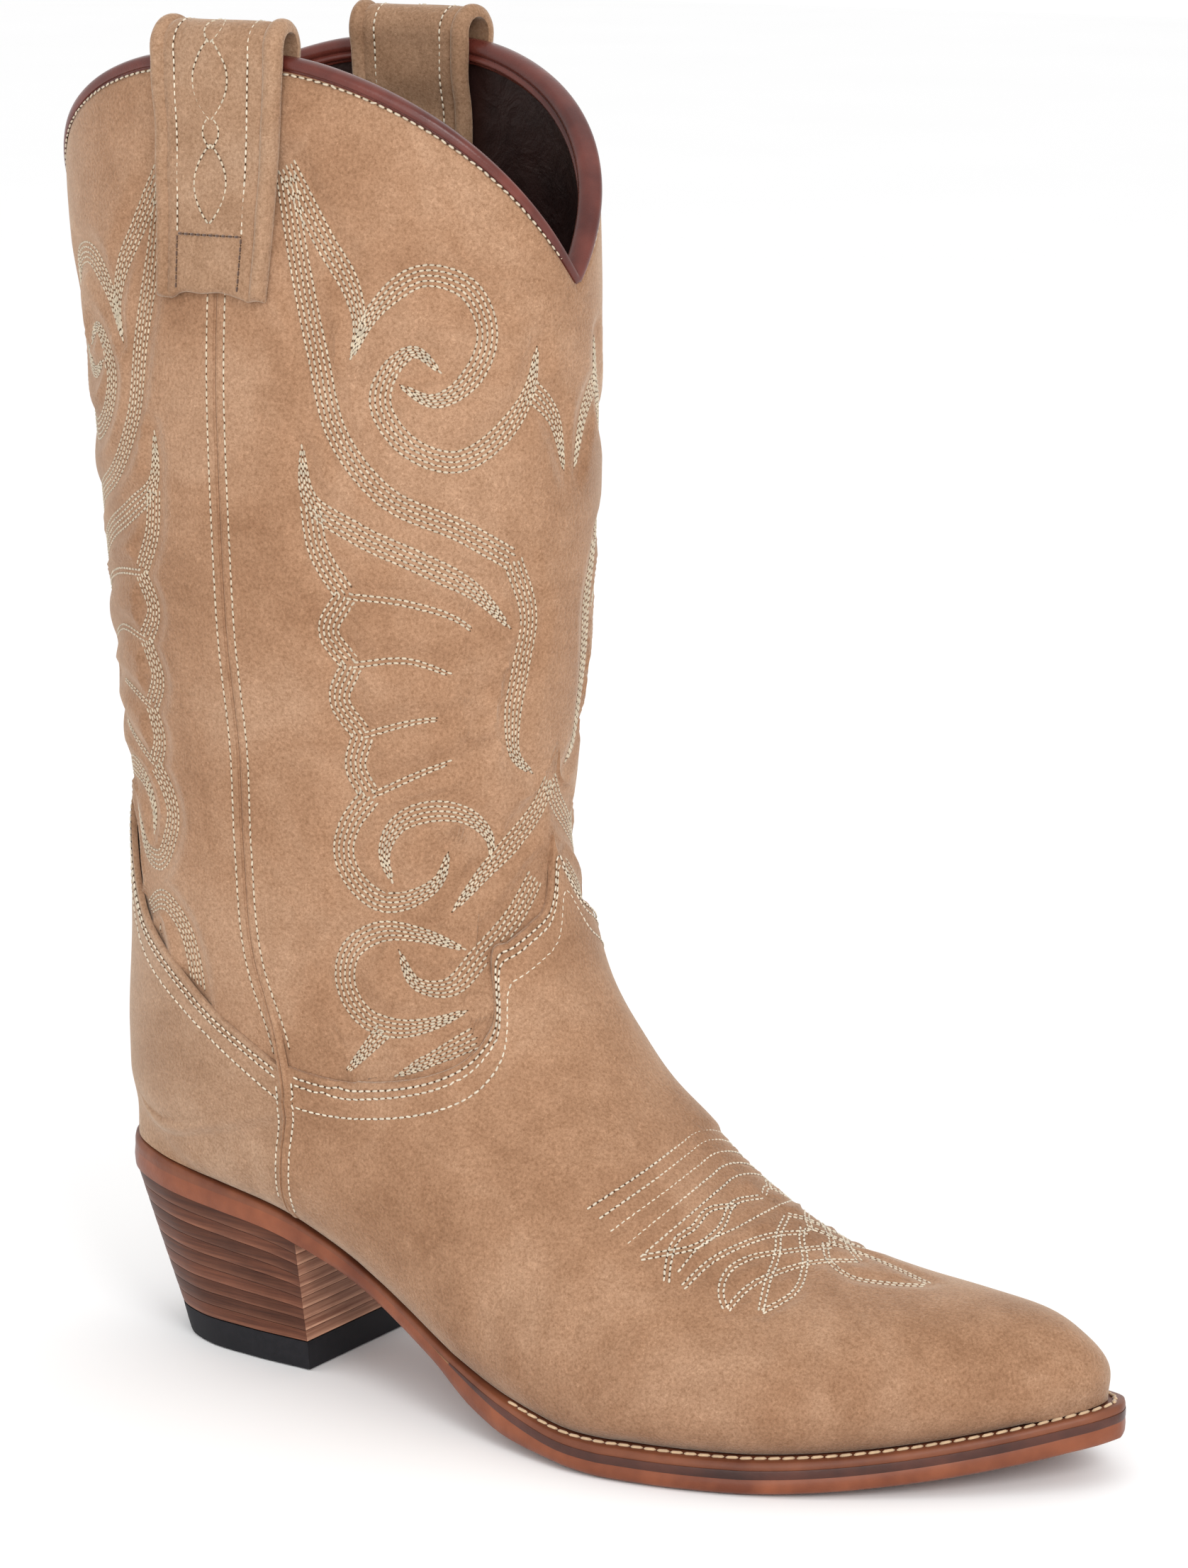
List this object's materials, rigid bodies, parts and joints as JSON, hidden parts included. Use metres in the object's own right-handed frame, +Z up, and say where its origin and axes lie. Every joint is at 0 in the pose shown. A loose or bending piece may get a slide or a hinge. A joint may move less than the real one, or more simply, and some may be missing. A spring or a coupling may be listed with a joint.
{
  "type": "cowboy boot",
  "caption": "Tall suede cowboy boot for the right foot, with a scalloped bound top, pull straps, an almond toe, a welted leather sole and a slanted stacked heel.",
  "frame": {"origin": "middle of the base of the bounding box, on the ground the boot stands on", "axes": "+X from the heel to the toe, +Y to the wearer's left (the inner side of this right boot), +Z up"},
  "size_m": [0.2916, 0.104, 0.3435],
  "materials": {
    "suede": "sandy tan suede with a short nap",
    "lining_leather": "very dark brown, soft semi-gloss",
    "binding_leather": "glossy reddish brown",
    "stiffener_board": "raw fibre board and felt",
    "sole_leather": "reddish brown, burnished edge",
    "insole_leather": "natural vegetable tanned",
    "cork": "ground cork and latex",
    "steel": "plain steel",
    "stacked_leather": "brown stained stacked leather",
    "heel_rubber": "matte black"
  },
  "bodies": {
    "root": {"shaft_front": "suede", "shaft_back": "suede", "vamp": "suede", "counter_cover": "suede", "side_piping_outer": "suede", "side_piping_inner": "suede", "pull_strap_outer": "suede", "pull_strap_inner": "suede", "shaft_lining_front": "lining_leather", "shaft_lining_back": "lining_leather", "vamp_lining": "lining_leather", "heel_lining": "lining_leather", "sock_liner": "lining_leather", "top_binding_front": "binding_leather", "top_binding_back": "binding_leather", "vamp_interlining": "stiffener_board", "toe_puff": "stiffener_board", "heel_counter": "stiffener_board", "outsole": "sole_leather", "welt": "sole_leather", "heel_rand": "sole_leather", "insole": "insole_leather", "cork_filler": "cork", "shank": "steel", "heel_nail_1": "steel", "heel_nail_2": "steel", "heel_nail_3": "steel", "heel_nail_4": "steel", "heel_nail_5": "steel", "heel_lift_1": "stacked_leather", "heel_lift_2": "stacked_leather", "heel_lift_3": "stacked_leather", "heel_lift_4": "stacked_leather", "heel_lift_5": "stacked_leather", "heel_lift_6": "stacked_leather", "heel_lift_7": "stacked_leather", "heel_lift_8": "stacked_leather", "heel_lift_9": "stacked_leather", "heel_top_piece": "heel_rubber"}
  },
  "joints": []
}
